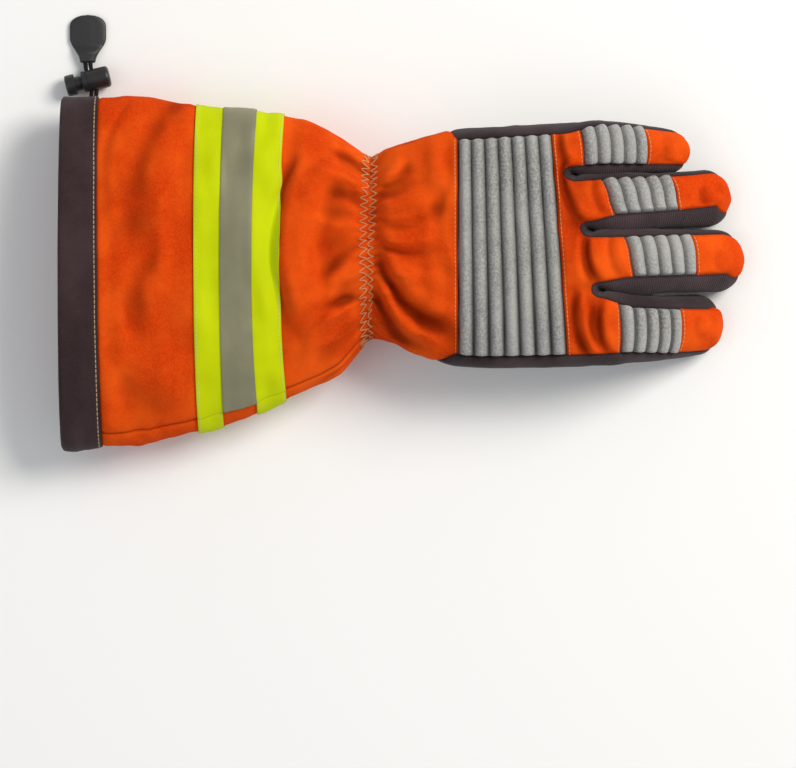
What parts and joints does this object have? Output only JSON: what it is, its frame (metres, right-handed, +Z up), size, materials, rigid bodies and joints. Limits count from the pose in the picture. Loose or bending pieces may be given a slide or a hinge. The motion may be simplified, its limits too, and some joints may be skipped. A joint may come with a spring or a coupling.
{
  "type": "firefighter glove",
  "caption": "Padded left work glove for firefighting with a long gauntlet cuff, ribbed suede pads, reflective tape and a draw cord with a sprung lock.",
  "frame": {"origin": "centre of the glove's bounding box on the surface it lies on, its cord left out", "axes": "+X from the cuff to the fingertips, +Y to the little finger's side, +Z up, the back of the hand facing up"},
  "size_m": [0.3898, 0.2504, 0.068],
  "materials": {
    "orange_cloth": "woven orange outer shell, matt",
    "hem_cloth": "dark grey binding, matt",
    "yellow_tape": "fluorescent yellow woven trim",
    "silver_tape": "glass-bead silver reflective strip",
    "grey_suede": "light grey suede, napped",
    "dark_twill": "dark brown-grey twill",
    "black_plastic": "satin black",
    "black_cord": "round woven elastic cord",
    "eyelet_metal": "worn metal"
  },
  "bodies": {
    "root": {"cord_lock_barrel": "black_plastic", "cord_strand_aft": "black_cord", "cord_strand_fore": "black_cord", "eyelet": "eyelet_metal", "finger_front_index": "grey_suede", "finger_front_middle": "grey_suede", "finger_front_pinky": "grey_suede", "finger_front_ring": "grey_suede", "finger_pad_index": "grey_suede", "finger_pad_middle": "grey_suede", "finger_pad_pinky": "grey_suede", "finger_pad_ring": "grey_suede", "finger_tip_index": "orange_cloth", "finger_tip_middle": "orange_cloth", "finger_tip_pinky": "orange_cloth", "finger_tip_ring": "orange_cloth", "fourchette_middle_index": "dark_twill", "fourchette_pinky_ring": "dark_twill", "fourchette_ring_middle": "dark_twill", "gauntlet_back": "orange_cloth", "gauntlet_palm": "orange_cloth", "hand_back": "orange_cloth", "hem_band": "hem_cloth", "knuckle_band": "orange_cloth", "knuckle_pad": "grey_suede", "palm_heel": "grey_suede", "palm_panel": "grey_suede", "pull_tab": "black_plastic", "side_strip_index": "dark_twill", "side_strip_pinky": "dark_twill", "tape_back": "yellow_tape", "tape_back_silver": "silver_tape", "tape_palm_aft": "yellow_tape", "tape_palm_fore": "yellow_tape", "thumb_base": "orange_cloth", "thumb_front": "grey_suede", "thumb_pad": "grey_suede", "thumb_strip": "dark_twill", "thumb_tip": "orange_cloth", "wrist_palm": "orange_cloth"},
    "plunger": {"cord_lock_plunger": "black_plastic"}
  },
  "joints": [
    {"name": "lock_plunger_press", "type": "slide", "parent": "root", "child": "plunger", "axis": [0.9703, 0.2419, 0], "range_m": [0, 0.004], "stiffness_N_per_m": 60}
  ]
}
